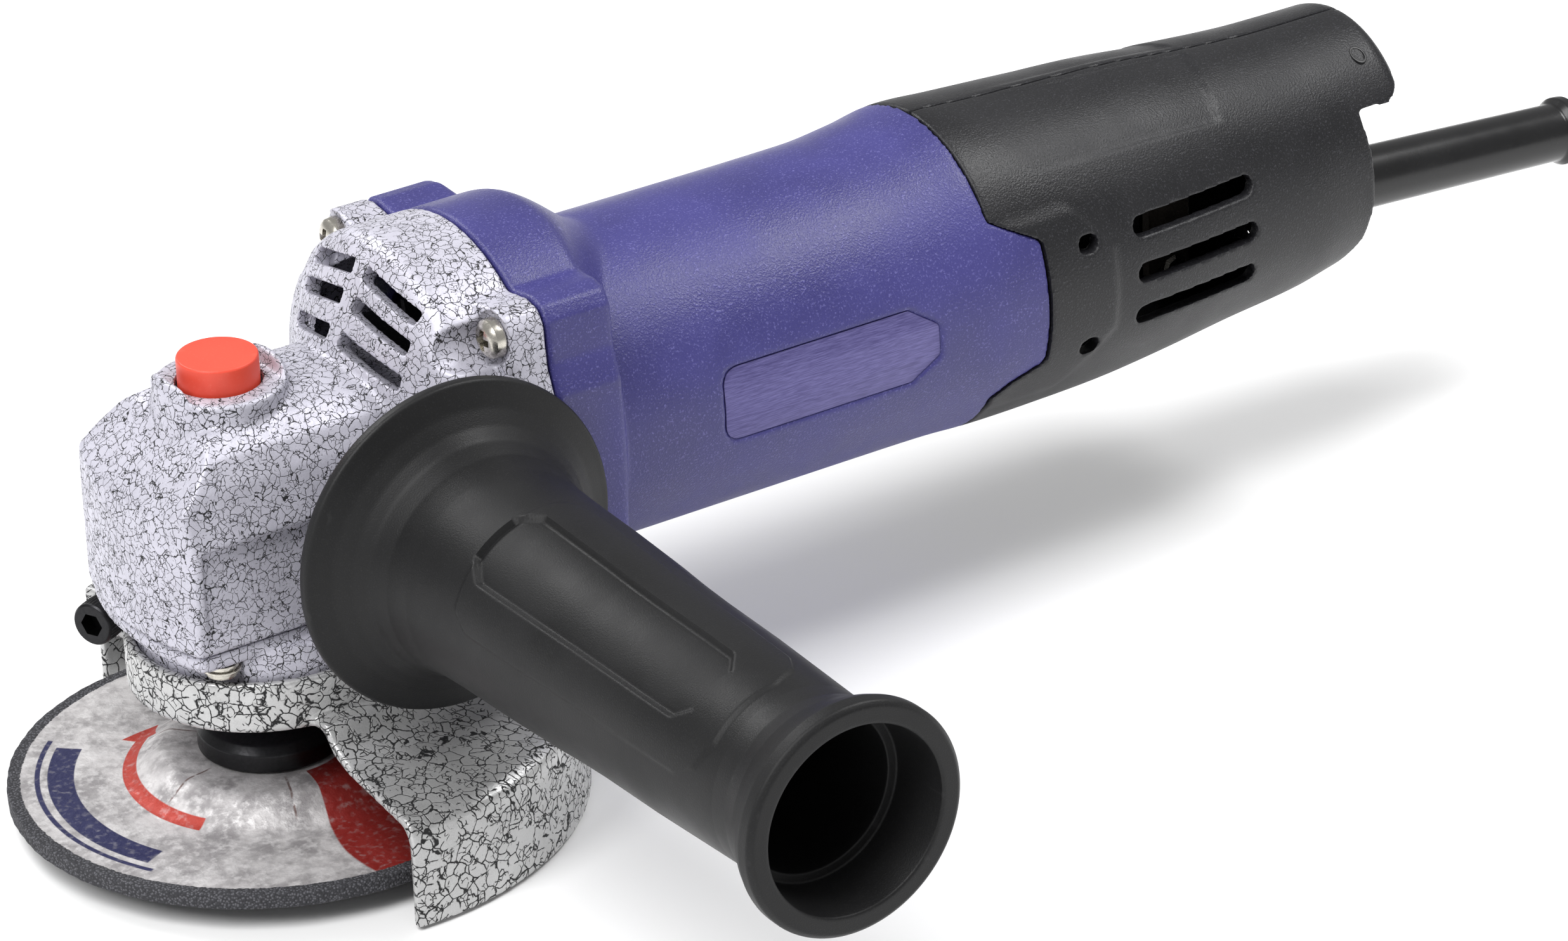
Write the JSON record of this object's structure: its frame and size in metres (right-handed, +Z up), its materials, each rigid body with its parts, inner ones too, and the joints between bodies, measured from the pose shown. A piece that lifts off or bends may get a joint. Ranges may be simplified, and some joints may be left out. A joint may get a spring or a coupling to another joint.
{
  "type": "angle grinder",
  "caption": "Corded small angle grinder with side handle, wheel guard, spindle lock and a depressed-centre wheel driven through a bevel gear pair.",
  "frame": {"origin": "centre of the spindle's end face, on the spindle axis and in the plane of the wheel's lower side", "axes": "+X back along the motor, -Y towards the side handle, +Z up along the spindle towards the lock button"},
  "size_m": [0.3637, 0.2254, 0.1065],
  "materials": {
    "crackle_coat": "light grey crackle-finish coating on a die casting",
    "crackle_guard": "coarse silver and black crackle coating on sheet steel",
    "blue_plastic": "spark-textured violet-blue moulding",
    "black_plastic": "spark-textured black moulding",
    "switch_plastic": "smooth black moulding",
    "handle_plastic": "fine-textured black moulding",
    "black_rubber": "smooth black rubber",
    "red_plastic": "satin orange-red moulding",
    "zinc_steel": "nickel or zinc plated steel",
    "bearing_steel": "ground and turned steel",
    "black_steel": "black oxide on steel",
    "laminated_steel": "stacked electrical steel sheets",
    "copper_winding": "varnished copper",
    "fibre": "natural fibre board or felt",
    "carbon": "pressed carbon",
    "brass": "drawn brass",
    "abrasive": "resin-bonded grit with a printed paper label"
  },
  "bodies": {
    "housing": {"gear_housing": "crackle_coat", "bearing_box": "crackle_coat", "bearing_box_screw_1": "zinc_steel", "bearing_box_screw_2": "zinc_steel", "bearing_box_screw_3": "zinc_steel", "bearing_box_screw_4": "zinc_steel", "housing_screw_1": "zinc_steel", "housing_screw_2": "zinc_steel", "housing_screw_3": "zinc_steel", "housing_screw_4": "zinc_steel", "motor_housing": "blue_plastic", "rear_cover_left": "black_plastic", "rear_cover_right": "black_plastic", "rear_cover_screw_1": "zinc_steel", "rear_cover_screw_2": "zinc_steel", "rear_cover_screw_3": "zinc_steel", "cord_clamp": "fibre", "cord_clamp_screw_1": "zinc_steel", "cord_clamp_screw_2": "zinc_steel", "switch_body": "black_plastic", "cord_guard": "black_rubber", "field_core": "laminated_steel", "field_coil_upper": "copper_winding", "field_coil_lower": "copper_winding", "baffle_ring": "black_plastic", "brush_holder_left": "brass", "brush_holder_right": "brass", "carbon_brush_left": "carbon", "carbon_brush_right": "carbon", "front_bearing_outer": "bearing_steel", "rear_bearing_outer": "bearing_steel", "rear_bearing_sleeve": "black_rubber", "spindle_bearing_outer": "bearing_steel", "spindle_top_bush": "brass", "dust_seal": "fibre"},
    "spindle": {"spindle": "bearing_steel", "crown_gear": "bearing_steel", "spindle_bearing_inner": "bearing_steel", "inner_flange": "black_steel", "grinding_wheel": "abrasive", "lock_nut": "black_steel"},
    "armature": {"armature_shaft": "bearing_steel", "armature_core": "laminated_steel", "armature_winding_front": "copper_winding", "armature_winding_rear": "copper_winding", "commutator": "copper_winding", "front_bearing_inner": "bearing_steel", "rear_bearing_inner": "bearing_steel", "cooling_fan": "black_plastic", "pinion": "bearing_steel", "pinion_nut": "black_steel"},
    "lock_button": {"lock_button": "red_plastic", "lock_pin": "bearing_steel", "lock_spring": "bearing_steel"},
    "switch_toggle": {"switch_toggle": "switch_plastic"},
    "wheel_guard": {"wheel_guard": "crackle_guard", "guard_clamp_bolt": "black_steel", "guard_clamp_nut": "zinc_steel"},
    "side_handle": {"side_grip": "handle_plastic", "handle_stud": "zinc_steel"}
  },
  "joints": [
    {"name": "spindle_spin", "type": "hinge", "parent": "housing", "child": "spindle", "pos_m": [0, 0, 0], "axis": [0, 0, 1], "continuous": true},
    {"name": "armature_spin", "type": "hinge", "parent": "housing", "child": "armature", "pos_m": [0, 0, 0.062], "axis": [1, 0, 0], "continuous": true},
    {"name": "lock_press", "type": "slide", "parent": "housing", "child": "lock_button", "axis": [0, 0, -1], "range_m": [0, 0.0035], "stiffness_N_per_m": 900, "springref_m": -0.002},
    {"name": "switch_turn", "type": "hinge", "parent": "housing", "child": "switch_toggle", "pos_m": [0.237, 0, 0.081], "axis": [0, 0, 1], "range_deg": [0, 28]},
    {"name": "guard_turn", "type": "hinge", "parent": "housing", "child": "wheel_guard", "pos_m": [0, 0, 0], "axis": [0, 0, 1], "range_deg": [-90, 90]},
    {"name": "handle_draw", "type": "slide", "parent": "housing", "child": "side_handle", "axis": [0, -1, 0], "range_m": [0, 0.0115]}
  ],
  "couplings": [
    {"joint": "armature_spin", "follows": "spindle_spin", "ratio": 2.8}
  ]
}
